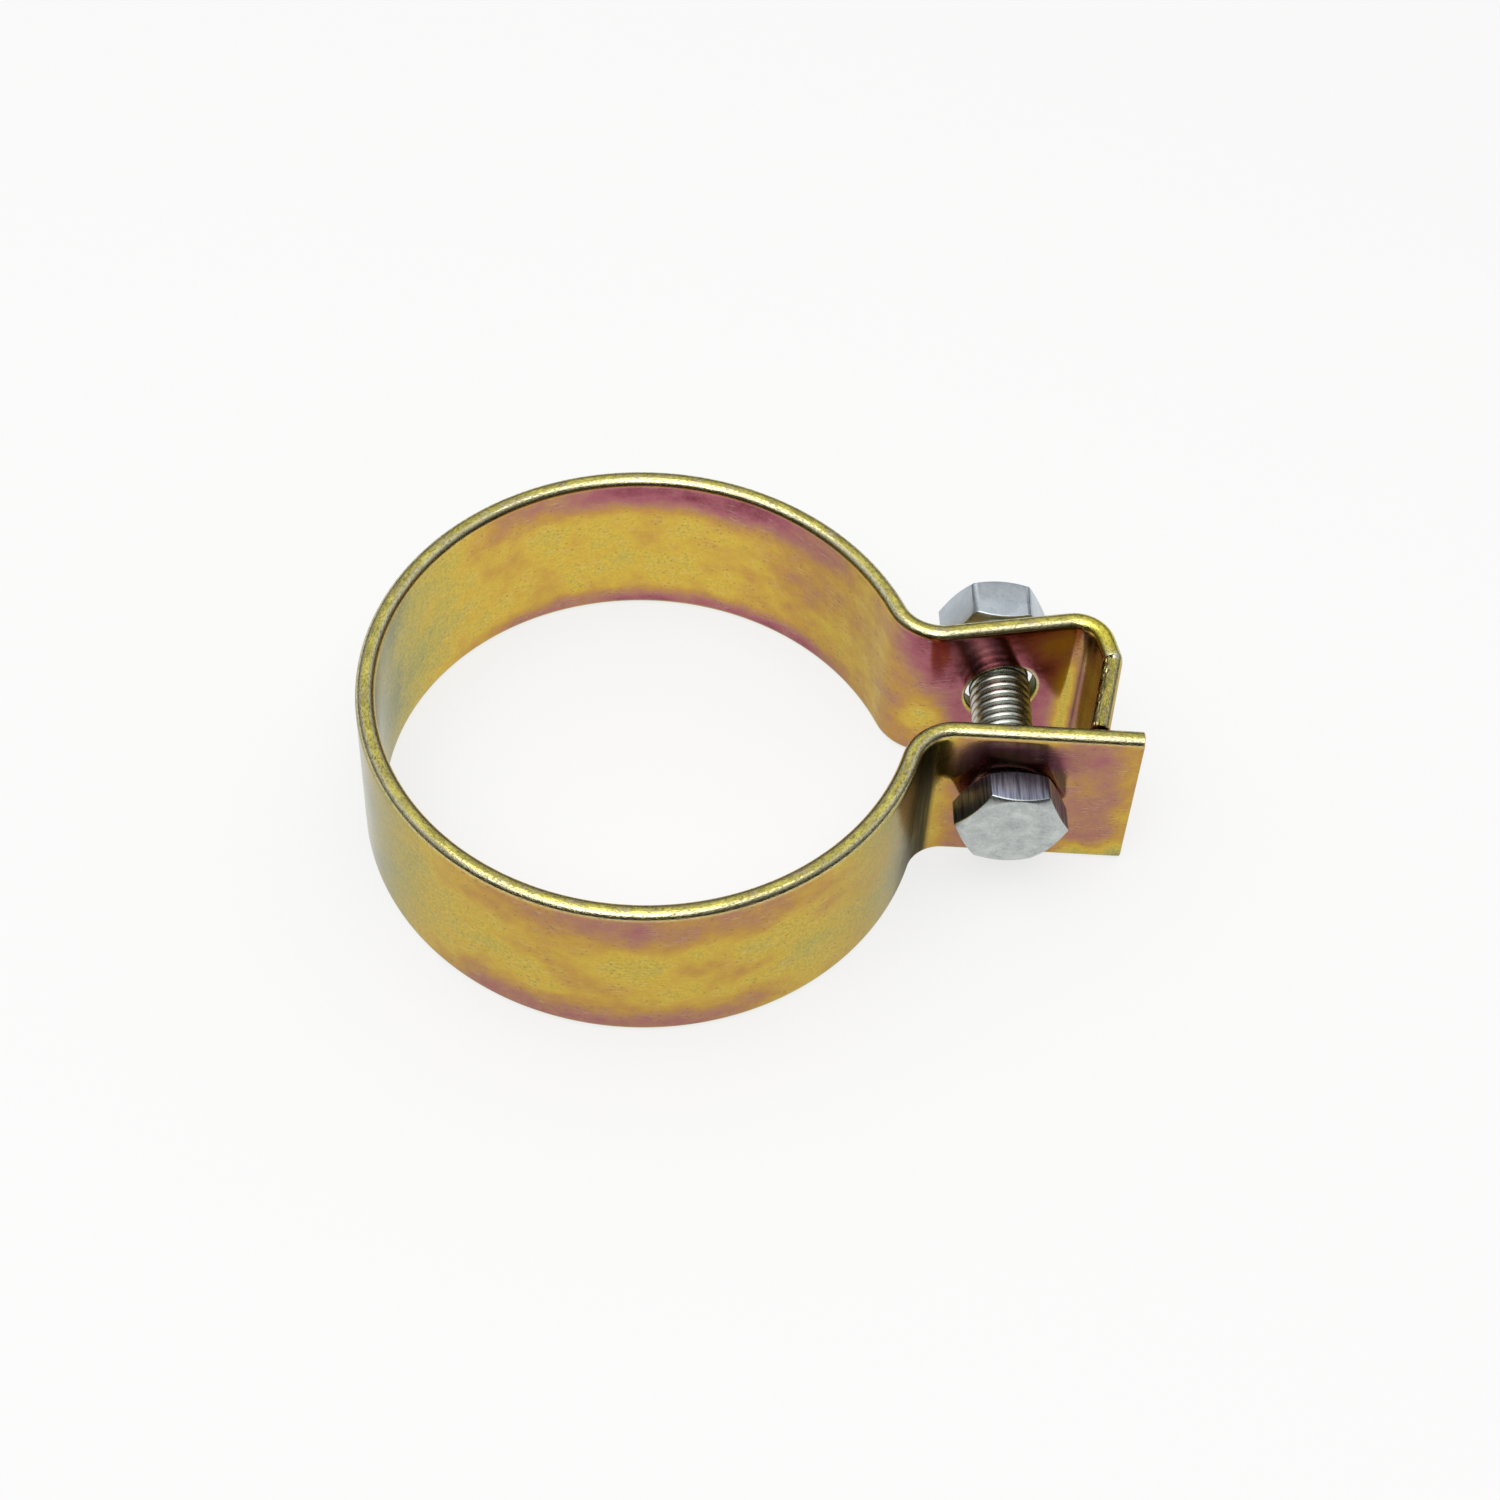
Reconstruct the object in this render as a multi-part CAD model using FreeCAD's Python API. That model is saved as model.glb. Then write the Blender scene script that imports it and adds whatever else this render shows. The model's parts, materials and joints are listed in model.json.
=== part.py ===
# Exhaust clamp: one bent steel strip round a pipe, closed by a hexagon bolt and nut.
# Units are millimetres and degrees. The origin is the middle of the pipe seat, +Z runs along the pipe,
# +X points to the ears, and the bolt lies along Y with its head on the -Y side.
import FreeCAD, Part
import math
import os

from FreeCAD import Vector

# Strip and pipe seat
pipe_d = 68.0
strip_t = 2.5
strip_w = 25.0
edge_round = 0.55

# Bend at each ear's root, where the strip leaves the seat's circle
root_mid_r = 6.2

# Ears: each leans out from the line square to the bolt.
# The mid-line of each crosses the bolt's axis at its own distance.
bolt_reach = 10.5
far_ear_y = 10.15
far_splay = 8.0
near_ear_y = 7.25
near_splay = 3.3
near_ear_past_bolt = 16.0

# Flange: the far ear's end, bent across the gap as a stop for the near ear
flange_past_bolt = 12.08
flange_lean = 13.4
flange_bend_mid_r = 3.9
lead_lean = 11.5
crease_y = 5.0
crease_mid_r = 1.55
flange_gap = 0.2

# Bolt holes in the ears
hole_d = 9.5
hole_round = 0.4

# Hexagon bolt, threaded over its whole length
bolt_d = 8.0
bolt_length = 30.0
head_af = 13.0
head_h = 5.3
washer_face_d = 11.6
washer_face_h = 0.4
tip_chamfer = 0.9
hex_turn = -5.0

# Hexagon nut, backed off along the bolt
nut_af = 13.0
nut_h = 6.5
nut_back_off = 3.9
nut_clearance = 0.06
nut_countersink = 0.5

# Chamfers on the hexagons: the flat face inside them, as a share of the width across flats
chamfer_angle = 30.0
chamfer_face_share = 0.95
underside_face_share = 0.99
seat_gap = 0.03

# Sizes worked out from those above
half_t = strip_t / 2
half_w = strip_w / 2
ring_mid_r = pipe_d / 2 + half_t
bolt_x = ring_mid_r + half_t + bolt_reach
bolt_r = bolt_d / 2
same_place = 0.001


def toward(angle):
    """Unit vector in the XY plane, at an angle from +X."""
    a = math.radians(angle)
    return Vector(math.cos(a), math.sin(a), 0)


def left_of(direction):
    """Unit vector square to a direction, on its left."""
    return Vector(-direction.y, direction.x, 0)


def meet(p, d, q, e):
    """Point where the line through p along d crosses the line through q along e."""
    step = (q - p).cross(e).z / d.cross(e).z
    return p + d * step


def mirrored(point, side):
    """The far side is drawn as it is, and the near side with y turned round; both lie on the lower edge."""
    return Vector(point.x, side * point.y, -half_w)


def run_edge(start, end, offset, side):
    """A straight stretch of the strip's outline, offset to the left of its mid-line."""
    shift = left_of((end - start).normalize()) * offset
    return Part.LineSegment(mirrored(start + shift, side), mirrored(end + shift, side)).toShape()


def bend_edge(centre, mid_r, start_angle, end_angle, offset, side):
    """A bent stretch of the outline; the left of a bend to the left is its inner side."""
    turn = 1 if end_angle > start_angle else -1
    radius = mid_r - turn * offset
    angles = (start_angle, (start_angle + end_angle) / 2, end_angle)
    points = [mirrored(centre + toward(a) * radius, side) for a in angles]
    return Part.Arc(*points).toShape()


def bearing(vector):
    """Angle of a vector from +X."""
    return math.degrees(math.atan2(vector.y, vector.x))


def root_centre(ear_y, splay):
    """Centre of the bend at an ear's root, which touches the seat's circle and the ear's mid-line."""
    ear_dir = toward(splay)
    beside_ear = Vector(bolt_x, ear_y, 0) + left_of(ear_dir) * root_mid_r
    along = beside_ear.dot(ear_dir)
    reach = ring_mid_r + root_mid_r
    step = along - math.sqrt(along ** 2 - beside_ear.dot(beside_ear) + reach ** 2)
    return beside_ear - ear_dir * step


def root_bend(ear_y, splay, offset, side):
    """Edge from the seat's circle to the straight ear, and the point where the straight begins."""
    centre = root_centre(ear_y, splay)
    ear_start = centre - left_of(toward(splay)) * root_mid_r
    return bend_edge(centre, root_mid_r, bearing(centre) - 180, splay - 90, offset, side), ear_start


def near_ear_end():
    """Middle of the near ear's sheared end, drawn on the far side's side of the X axis."""
    length = near_ear_past_bolt / math.cos(math.radians(near_splay))
    return Vector(bolt_x, near_ear_y, 0) + toward(near_splay) * length


def near_side(offset):
    """Edges of the near ear at an offset from its mid-line."""
    root, start = root_bend(near_ear_y, near_splay, offset, -1)
    return [root, run_edge(start, near_ear_end(), offset, -1)]


def flange_points():
    """Corners of the far ear's mid-line: outer bend, crease and free end."""
    ear = Vector(bolt_x, far_ear_y, 0)
    flange_dir = toward(-90 - flange_lean)
    lead_dir = toward(-90 + lead_lean)
    on_axis = Vector(bolt_x + flange_past_bolt, 0, 0)
    crease = meet(on_axis, flange_dir, Vector(0, crease_y, 0), Vector(1, 0, 0))
    corner = meet(ear, toward(far_splay), crease, lead_dir)
    # the free end stops short of the near ear's inner face, measured at the flange's outer corner
    near_dir = toward(-near_splay)
    near_face = Vector(bolt_x, -near_ear_y, 0) + left_of(near_dir) * (half_t + flange_gap)
    outward = left_of(flange_dir) * half_t
    end = meet(on_axis + outward, flange_dir, near_face, near_dir) - outward
    return corner, crease, end


def corner_bend(before, corner, after, mid_r, offset):
    """A bend that rounds a corner of the mid-line, with its two ends on the mid-line."""
    into = (corner - before).normalize()
    out = (after - corner).normalize()
    turn = bearing(out) - bearing(into)
    reach = mid_r * math.tan(math.radians(abs(turn) / 2))
    start = corner - into * reach
    centre = start - left_of(into) * mid_r
    first = bearing(into) + 90
    edge = bend_edge(centre, mid_r, first, first + turn, offset, 1)
    return start, edge, corner + out * reach


def far_side(offset):
    """Edges of the far ear and its flange at an offset from their mid-line."""
    root, start = root_bend(far_ear_y, far_splay, offset, 1)
    corner, crease, end = flange_points()
    ear_stop, bend, lead_start = corner_bend(start, corner, crease, flange_bend_mid_r, offset)
    lead_stop, fold, flange_start = corner_bend(corner, crease, end, crease_mid_r, offset)
    return [
        root,
        run_edge(start, ear_stop, offset, 1),
        bend,
        run_edge(lead_start, lead_stop, offset, 1),
        fold,
        run_edge(flange_start, end, offset, 1),
    ]


def seat_arc(offset):
    """The seat's circle at an offset from its mid-line, round the side away from the ears."""
    radius = ring_mid_r + offset
    far_stop = bearing(root_centre(far_ear_y, far_splay))
    near_stop = -bearing(root_centre(near_ear_y, near_splay))
    points = [mirrored(toward(a) * radius, 1) for a in (far_stop, 180, near_stop)]
    return Part.Arc(*points).toShape()


def end_cap(end, before, side):
    """The sheared end of the strip."""
    across = left_of((end - before).normalize()) * half_t
    return Part.LineSegment(mirrored(end + across, side), mirrored(end - across, side)).toShape()


def round_long_edges(strip):
    """Rounds the strip's rolled edges; the four edges at its sheared ends stay sharp."""
    flange_end = mirrored(flange_points()[2], 1)
    ear_end = mirrored(near_ear_end(), -1)
    rolled = []
    for edge in strip.Edges:
        box = edge.BoundBox
        if box.ZLength > same_place:
            continue
        middle = edge.valueAt((edge.FirstParameter + edge.LastParameter) / 2)
        middle.z = -half_w
        if min((middle - flange_end).Length, (middle - ear_end).Length) > same_place:
            rolled.append(edge)
    return strip.makeFillet(edge_round, rolled)


def drill_ear(strip, ear_y, splay, side):
    """Cuts the bolt hole square to one ear and rounds its two rims."""
    middle = Vector(bolt_x, side * ear_y, 0)
    out = toward(side * (splay + 90))
    hole = Part.makeCylinder(hole_d / 2, 2 * strip_t, middle - out * strip_t, out)
    strip = strip.cut(hole)
    rims = []
    for edge in strip.Edges:
        if not isinstance(edge.Curve, Part.Circle):
            continue
        centre = edge.Curve.Center
        on_face = abs((centre - middle).Length - half_t) < same_place
        if on_face and abs(edge.Curve.Radius - hole_d / 2) < same_place:
            rims.append(edge)
    return strip.makeFillet(hole_round, rims)


def make_band():
    """The strip: seat, shoulders, two ears and the flange, bent from one piece."""
    crease, flange_end = flange_points()[1:]
    ear_end = near_ear_end()
    edges = []
    for offset in (half_t, -half_t):
        edges += [seat_arc(offset)] + near_side(offset) + far_side(offset)
    edges.append(end_cap(flange_end, crease, 1))
    edges.append(end_cap(ear_end, Vector(bolt_x, near_ear_y, 0), -1))
    outline = Part.Wire(Part.__sortEdges__(edges))
    strip = Part.Face(outline).extrude(Vector(0, 0, strip_w))
    strip = round_long_edges(strip)
    strip = drill_ear(strip, far_ear_y, far_splay, 1)
    return drill_ear(strip, near_ear_y, near_splay, -1)


def turned(profile):
    """Solid of revolution about the bolt's axis from (radius, y) points."""
    points = [Vector(bolt_x + r, y, 0) for r, y in profile]
    face = Part.Face(Part.makePolygon(points + points[:1]))
    return face.revolve(Vector(bolt_x, 0, 0), Vector(0, 1, 0), 360)


def hexagon(af, y_from, y_to):
    """Hexagon bar about the bolt's axis, with a flat facing up before it is turned."""
    corner_r = af / math.sqrt(3)
    points = []
    for k in range(6):
        a = math.radians(60 * k + hex_turn)
        points.append(Vector(bolt_x + corner_r * math.cos(a), y_from, corner_r * math.sin(a)))
    face = Part.Face(Part.makePolygon(points + points[:1]))
    return face.extrude(Vector(0, y_to - y_from, 0))


def chamfered_hexagon(af, y_from, y_to, from_share, to_share):
    """Hexagon whose corners are turned down at both faces; each share sets the flat circle left there."""
    over_r = af
    slope = math.tan(math.radians(chamfer_angle))
    from_r = from_share * af / 2
    to_r = to_share * af / 2
    envelope = turned([
        (0, y_from),
        (from_r, y_from),
        (over_r, y_from + (over_r - from_r) * slope),
        (over_r, y_to - (over_r - to_r) * slope),
        (to_r, y_to),
        (0, y_to),
    ])
    return hexagon(af, y_from, y_to).common(envelope)


def head_seat_y():
    """Plane of the bolt head's bearing face, where its rim meets the leaning near ear."""
    lean = math.radians(near_splay)
    return -(near_ear_y + half_t / math.cos(lean) + washer_face_d / 2 * math.tan(lean) + seat_gap)


def nut_tight_y():
    """Plane of the nut's bearing face when its rim meets the leaning far ear."""
    lean = math.radians(far_splay)
    face_r = chamfer_face_share * nut_af / 2
    return far_ear_y + half_t / math.cos(lean) + face_r * math.tan(lean) + seat_gap


def make_bolt():
    """Head, washer face and shank; the shank is as thick as the thread's crests."""
    seat = head_seat_y()
    head_back = seat - washer_face_h
    head_front = seat - head_h
    head = chamfered_hexagon(head_af, head_front, head_back, chamfer_face_share, underside_face_share)
    tip = seat + bolt_length
    shank = turned([
        (0, head_back),
        (washer_face_d / 2, head_back),
        (washer_face_d / 2, seat),
        (bolt_r, seat),
        (bolt_r, tip - tip_chamfer),
        (bolt_r - tip_chamfer, tip),
        (0, tip),
    ])
    return head.fuse(shank).removeSplitter()


def make_nut():
    """Nut with both faces chamfered, and a bore that runs free on the bolt's crests."""
    front = nut_tight_y() + nut_back_off
    back = front + nut_h
    body = chamfered_hexagon(nut_af, front, back, chamfer_face_share, chamfer_face_share)
    bore_r = bolt_r + nut_clearance
    mouth_r = bore_r + nut_countersink
    bore = turned([
        (0, front),
        (mouth_r, front),
        (bore_r, front + nut_countersink),
        (bore_r, back - nut_countersink),
        (mouth_r, back),
        (0, back),
    ])
    return body.cut(bore)


def save(shape, node):
    """Writes one sub-part and prints what it measures."""
    solid = shape.Solids[0]
    box = solid.BoundBox
    corners = (box.XMin, box.XMax, box.YMin, box.YMax, box.ZMin, box.ZMax)
    print(node, "solids", len(shape.Solids), "valid", solid.isValid(), "volume %.1f" % solid.Volume)
    print("  box", ["%.2f" % value for value in corners])
    solid.exportStep("parts/" + node + ".step")


os.makedirs("parts", exist_ok=True)
save(make_band(), "clamp_band")
save(make_bolt(), "hex_bolt")
save(make_nut(), "hex_nut")
print("bolt axis x %.3f, head seat y %.3f, nut tight y %.3f" % (bolt_x, head_seat_y(), nut_tight_y()))
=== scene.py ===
# Exhaust clamp: looks of the plated strip, the hexagon bolt and the nut.
# Lengths are in millimetres, in the frame of the model: the origin is the middle of the pipe seat,
# +Z runs along the pipe, +X points to the ears and the bolt lies along Y with its head on the -Y side.
# new_mesh turns them into the metres of the frame.
import json
import math
import bmesh
import bpy
import numpy as np
from mathutils import Matrix, Vector


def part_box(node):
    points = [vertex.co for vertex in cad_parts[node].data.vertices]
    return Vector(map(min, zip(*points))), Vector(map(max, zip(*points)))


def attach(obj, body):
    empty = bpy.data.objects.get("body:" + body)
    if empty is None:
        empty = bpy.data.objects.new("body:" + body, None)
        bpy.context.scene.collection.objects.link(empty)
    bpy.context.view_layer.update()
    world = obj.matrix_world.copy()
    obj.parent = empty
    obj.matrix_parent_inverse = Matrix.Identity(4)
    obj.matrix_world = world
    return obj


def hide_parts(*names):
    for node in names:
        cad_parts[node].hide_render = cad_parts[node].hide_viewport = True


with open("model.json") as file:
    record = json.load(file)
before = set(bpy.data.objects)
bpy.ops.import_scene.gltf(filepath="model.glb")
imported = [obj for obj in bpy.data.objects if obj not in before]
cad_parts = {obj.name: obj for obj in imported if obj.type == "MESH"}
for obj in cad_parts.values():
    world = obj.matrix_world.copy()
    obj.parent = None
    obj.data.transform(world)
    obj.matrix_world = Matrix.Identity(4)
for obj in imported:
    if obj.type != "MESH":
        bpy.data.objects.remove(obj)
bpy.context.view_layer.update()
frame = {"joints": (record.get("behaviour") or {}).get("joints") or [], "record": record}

MM = 1000.0
band_low, band_high = [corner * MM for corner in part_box("clamp_band")]
bolt_low, bolt_high = [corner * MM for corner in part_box("hex_bolt")]
nut_low, nut_high = [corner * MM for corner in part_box("hex_nut")]

# Strip and pipe seat
seat_r = frame["record"]["mounts"][0]["dims"]["r_mm"]
strip_w = band_high.z - band_low.z
strip_t = -band_low.x - seat_r
half_t = strip_t / 2
half_w = strip_w / 2
ring_r = seat_r + half_t
root_r = 6.2

# Rolled edges of the strip: rounded corners with a slight crown between them
edge_round = 1.15
crown_tilt = math.radians(22)
crown_half = half_t - edge_round * (1 - math.sin(crown_tilt))
crown_h = crown_half * math.tan(crown_tilt) / 2
edge_drop = crown_h + edge_round * math.cos(crown_tilt)

# Ears, each given by the place where its mid-line crosses the bolt's axis and by its lean
bolt_x = frame["joints"][0]["pos_m"][0] * MM
far_ear_y = 10.15
far_splay = 8.0
near_ear_y = 7.25
near_splay = 3.3
near_ear_past_bolt = 16.0

# Flange at the far ear's end; past its crease the upper edge is lower, and bitten on the inner side
flange_past_bolt = 12.08
flange_lean = 13.4
flange_bend_r = 3.9
lead_lean = 11.5
crease_y = 5.0
crease_r = 1.55
flange_gap = 0.2
flange_low = 0.3
flange_step = (0.1, 0.5)
flange_bite = 0.4
bite_side = (-0.1 * half_t, 0.5 * half_t)
bite_seed = 5
bite_rarity = 3

# Holes in the ears
hole_r = 4.75
hole_round = 0.4

# Bolt and nut
pitch = 1.25
thread_r = 4.0
thread_root_r = 3.24
sharp_crest_r = 4.54
crest_curve = 1.4
flank_slope = math.tan(math.radians(60))
af = 13.0
hex_turn = -5.0
head_h = 5.3
washer_r = 5.8
washer_h = 0.4
head_back = bolt_low.y + head_h - washer_h
chamfer_slope = math.tan(math.radians(30))
head_share = 0.95
under_share = 0.965
nut_share = 0.93
edge_break = 0.16
nut_corner_break = 0.6
neck_r = 3.2
tip_r = 3.1
nut_minor_r = 3.33
nut_major_r = 4.06
nut_flank_room = 0.1
nut_mouth_r = 4.56
thread_fade = 0.1
tip_fade = (0.7, 1.0)
root_fade = (0.3, 0.6)

# How finely the meshes are cut
arc_step = 0.55
line_step = 0.8
patch_half = 6.0
patch_cells = 14
side_cells = 7
corner_cells = 8
rim_cells = 6
flange_cells = 26
hole_shares = (0.3, 0.6, 0.85, 1.0)
hole_angles = (25, 50, 75, 90)
end_break = 0.12
hex_columns = 16
bevel_cells = 3
face_ring_shares = (0.35, 0.7)
weld_m = 1e-7
strip_sharp_angle = 35
turned_sharp_angle = 24

# Places of the rows in one pitch of thread, as parts of a pitch from the crest
thread_rows = (-0.5, -0.4, -0.3, -0.2, -0.1, 0.0, 0.1, 0.2, 0.3, 0.4)

# Camera, measured against the photograph: 1500 pixels square, focal length 3001 pixels
camera_place = (-2.87577, -239.15475, 307.85587)
camera_right = (0.99903869, -0.01885613, 0.03957445)
camera_up = (-0.00926200, 0.79158820, 0.61098473)
camera_back = (-0.04284747, -0.61076393, 0.79065259)
sensor_mm = 36.0
lens_mm = 72.0245
clip_start_m = 0.01


def srgb(red, green, blue):
    """Linear colour from a colour as a screen shows it, 0 to 255."""
    linear = []
    for value in (red, green, blue):
        v = value / 255
        linear.append(v / 12.92 if v <= 0.04045 else ((v + 0.055) / 1.055) ** 2.4)
    return (*linear, 1.0)


def hump(middle, reach):
    """Bounds of a rise to the middle and a fall after it, each as long as the reach."""
    return (middle - reach, middle, middle, middle + reach)


# Thickness of the plating's colour film, 0 grey-green to 1 dark purple
ring_film = 0.36
near_ear_film = 0.62
near_ear_inside_film = 0.6
far_ear_film = 0.78
far_ear_outside_film = 0.35
flange_film = 0.4
rim_film = 0.2

# Where the film of the ears and the flange starts and is full, past the route's marks
near_ear_start = 4
near_ear_full = -2
far_ear_fade = (-2, 7)
flange_fade = (3, 5)
rim_fade = 0.1

# Stains, and the head's painted reflection: the amount, the place that the next bounds are counted from,
# bounds along the strip, or in degrees round the seat for the place "turn", and bounds across the strip.
# Two bounds are one smooth step, four are a rise and a fall, and None is everywhere.
# Bounds across the near ear of the head's painted reflection
head_reflection_band = (3.5, 7.5, 9.5, 11.5)
ring_inside_stains = (
    (-0.34, "turn", hump(-183, 55), None),  # olive opposite the ears
    (0.12, "turn", hump(-308, 25), None),  # pinker before the far ear
    (0.42, "turn", hump(-280, 75), (5.0, 10.0)),  # purple along the upper edge
    (0.34, "turn", hump(-275, 95), (-8.0, -11.5)),  # pink along the lower edge
)
ring_outside_stains = (
    (-0.3, "turn", hump(-175, 60), None),  # olive opposite the ears
    (-0.1, "turn", hump(-25, 42), None),  # paler before the near ear
    (0.22, "turn", hump(-90, 72), (3.0, 9.5)),  # pink along the upper edge
    (0.34, "turn", hump(-100, 60), (-5.0, -10.5)),  # pink along the lower edge
)
near_ear_stains_and_reflection = (
    (-0.42, "near_end", (12, 6), (-7, -12)),  # yellow low corner
    (-0.14, "near_end", (3.5, 0.5), None),  # golden end
    (-0.08, "near_end", None, (8.5, 10.5)),  # golden upper edge
    (-0.18, "near_root", hump(2.5, 4), None),  # ochre beside the root
    (0.4, "near_hole", hump(0, 9), head_reflection_band),  # painted reflection of the head, purple above it
)
far_ear_stains = (
    (-0.5, "flange_bend", hump(1.1, 3.2), (7.5, 3)),  # gold in the flange's bend
    (0.1, "flange_bend", None, (6, 11)),  # darker upper edge
    (-0.3, "flange_bend", (-7, -1), (4, 9)),  # paler before the bend
    (-0.5, "far_root", hump(5.5, 5), hump(-4, 8)),  # gold beside the root
)

# Painted shade, greyer places that are partly painted shade, the yellow bend and the crease's painted
# highlight, given like the stains
outside_painted_shade = (
    (1.0, "near_root", (2.6, 4.0, 8, 18), None),  # painted shade: an olive band in the root's hollow
    (0.65, "near_hole", hump(0, 11), head_reflection_band),  # painted reflection of the head, dark above it
)
inside_painted_shade = (
    # painted shade: a dark line along the flange's bend
    (0.65, "flange_bend", hump(3.2, 0.7), None),
    # painted shade on the flange's inner face
    (0.5, "flange_bend", (3.5, 5), None),
)
# painted shade on the far hole's wall
far_hole_painted_shade = 0.8
outside_grey_and_shade = (
    # greyer and darker over the whole outside
    (0.25, "turn", None, None),
    # painted shade on the outer wall opposite the ears
    (0.6, "turn", hump(-168, 38), None),
    # painted shade on the outer wall before the near ear
    (0.5, "turn", hump(-28, 28), None),
)
inside_grey_and_shade = (
    # darker and greyer on the inner wall before the far ear
    (0.4, "turn", hump(-325, 35), None),
    # darker and greyer on the inner wall opposite the ears
    (0.25, "turn", hump(-185, 35), None),
)
yellow_bend = hump(5, 7)
# bounds of the crease's painted highlight
crease_highlight_bounds = hump(0.35, 0.5)

# Colours of the film from thin to thick, of the strip's edges from low to high mottle, and of marks, painted
# shade, greying and the crease's painted highlight
film_colours = (
    (0.0, srgb(152, 150, 104)),
    (0.17, srgb(192, 178, 92)),
    (0.34, srgb(216, 183, 76)),
    (0.48, srgb(198, 152, 78)),
    (0.62, srgb(180, 130, 106)),
    (0.76, srgb(170, 100, 112)),
    (0.90, srgb(128, 62, 74)),
    (1.0, srgb(88, 44, 42)),
)
edge_colours = (
    (0.38, srgb(196, 182, 142)),
    (0.46, srgb(192, 182, 92)),
    (0.6, srgb(228, 216, 116)),
)
corner_colour = srgb(222, 216, 176)
bend_colour = srgb(236, 222, 90)
# painted highlight at the crease
crease_highlight_colour = srgb(246, 244, 226)
# greying, partly painted shade
grey_and_shade_tint = srgb(205, 205, 205)
speck_colour = srgb(96, 84, 60)
crumb_colour = srgb(92, 82, 40)
scratch_colour = srgb(224, 212, 178)
# painted shade
painted_shade_colour = srgb(62, 54, 22)
grazing_tint = srgb(230, 230, 222)

# Unevenness of the plating: noise scales along, across and through the strip, in waves a millimetre,
# the weight of each in the film, and the noise values between which a mark fades in. Four values are
# such a range and what it turns into.
broad_scale = (0.1, 0.14, 0.9)
broad_weight = 0.46
mottle_scale = (0.3, 0.34, 0.9)
mottle_weight = 0.34
grain_scale = (2.2, 2.2, 2.2)
grain_weight = 0.32
grain_light = (0.3, 0.7, 0.8, 1.14)
chance_scale = (0.4, 0.4, 0.4)
speck_scale = (1.1, 1.4, 1.0)
speck_size = (0.28, 0.12)
speck_chance = (0.46, 0.56)
speck_strength = 0.4
crumb_scale = (2.2, 5.0, 5.0)
crumb_fade = (0.5, 0.64)
crumb_rise = 0.09
crumb_strength = 0.6
scratch_scale = (0.5, 9.0, 1.0)
scratch_turns = (28, -41)
scratch_shifts = (0, 6)
scratch_fade = (0.62, 0.69)
scratch_chance = (0.47, 0.6)
scratch_strength = 0.3
# streaks within the painted shade
streak_scale = (1.6, 0.12, 1.0)
streak_light = (0.3, 0.55, 0.82, 1.0)
corner_depths = (0.3, 0.65)
upper_side = (-1.0, 1.0)

# Gloss and relief of the plating
plating_rough = (0.35, 0.7, 0.09, 0.17)
rim_rough = -0.02
crumb_rough = 0.2
shade_rough = 0.3
grain_relief = 0.5
speck_relief = -0.4
crumb_relief = -0.7
plating_bump = 0.3
plating_bump_depth = 0.05

# Zinc of the bolt and nut: noise scales in waves a metre, tones from dark to pale, and roughness
tool_mark_scale = (2600, 130, 2600)
tool_mark_fade = (0.35, 0.68)
zinc_grain_scale = (2600, 2600, 2600)
cloud_scale = (420, 420, 420)
cloud_weight = 0.7
tone_fade = (0.35, 0.65)
bolt_tones = (srgb(160, 166, 166), srgb(205, 210, 206))
bolt_rough = (0.2, 0.34)
nut_tones = (srgb(174, 184, 192), srgb(208, 216, 223))
nut_rough = (0.26, 0.4)
thread_colour = srgb(196, 201, 192)
root_colour = srgb(114, 119, 114)
head_side_tones = (srgb(88, 90, 108), srgb(166, 170, 190))
head_side_rough = 0.14
head_fade = 0.1
facing_fade = (0.3, 0.15)
zinc_rough_span = (0.7, 1.3)
zinc_bump = 0.12
zinc_bump_depth = 0.02

# Room and light, in metres: the sky's tones by height, 0 at the horizon and 1 straight up, its strength
# from the near side to the far, and the lamps with their place, side and radiance
floor_size = 6.0
floor_tone = srgb(248, 248, 247)
floor_rough = 0.9
floor_gloss = 0.2
floor_glow = 0.75
sky_tones = ((0.0, 0.05), (0.2, 0.12), (0.4, 0.4), (0.62, 0.72), (0.8, 0.85), (1.0, 0.85))
sky_near = -0.5
sky_far = 0.2
sky_near_strength = 0.2
sky_far_strength = 1.0
lamps = (
    ("overhead", (-0.1, -0.24, 0.97), 1.05, 1.5),
    ("bright", (-0.1, -0.5, 0.86), 0.4, 2.3),
)


def unit(angle):
    """Unit vector in the XY plane, at an angle from +X in degrees."""
    a = math.radians(angle)
    return np.array([math.cos(a), math.sin(a)])


def left_of(d):
    """The direction a quarter turn to the left of d."""
    return np.array([-d[1], d[0]])


def bearing(d):
    """Angle of d from +X in degrees."""
    return math.degrees(math.atan2(d[1], d[0]))


def meet(p, d, q, e):
    """Point where the line through p along d crosses the line through q along e."""
    gap = q - p
    return p + d * (gap[0] * e[1] - gap[1] * e[0]) / (d[0] * e[1] - d[1] * e[0])


def smooth(value, none, full):
    """0 up to one bound, 1 past the other and a smooth step between; the bounds may run either way."""
    t = np.clip((value - none) / (full - none), 0, 1)
    return t * t * (3 - 2 * t)


def window(value, bounds):
    """How much of a stain shows at a value, from its two or four bounds."""
    if bounds is None:
        return 1.0
    share = smooth(value, bounds[0], bounds[1])
    if len(bounds) == 4:
        share = share * smooth(value, bounds[3], bounds[2])
    return share


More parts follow.
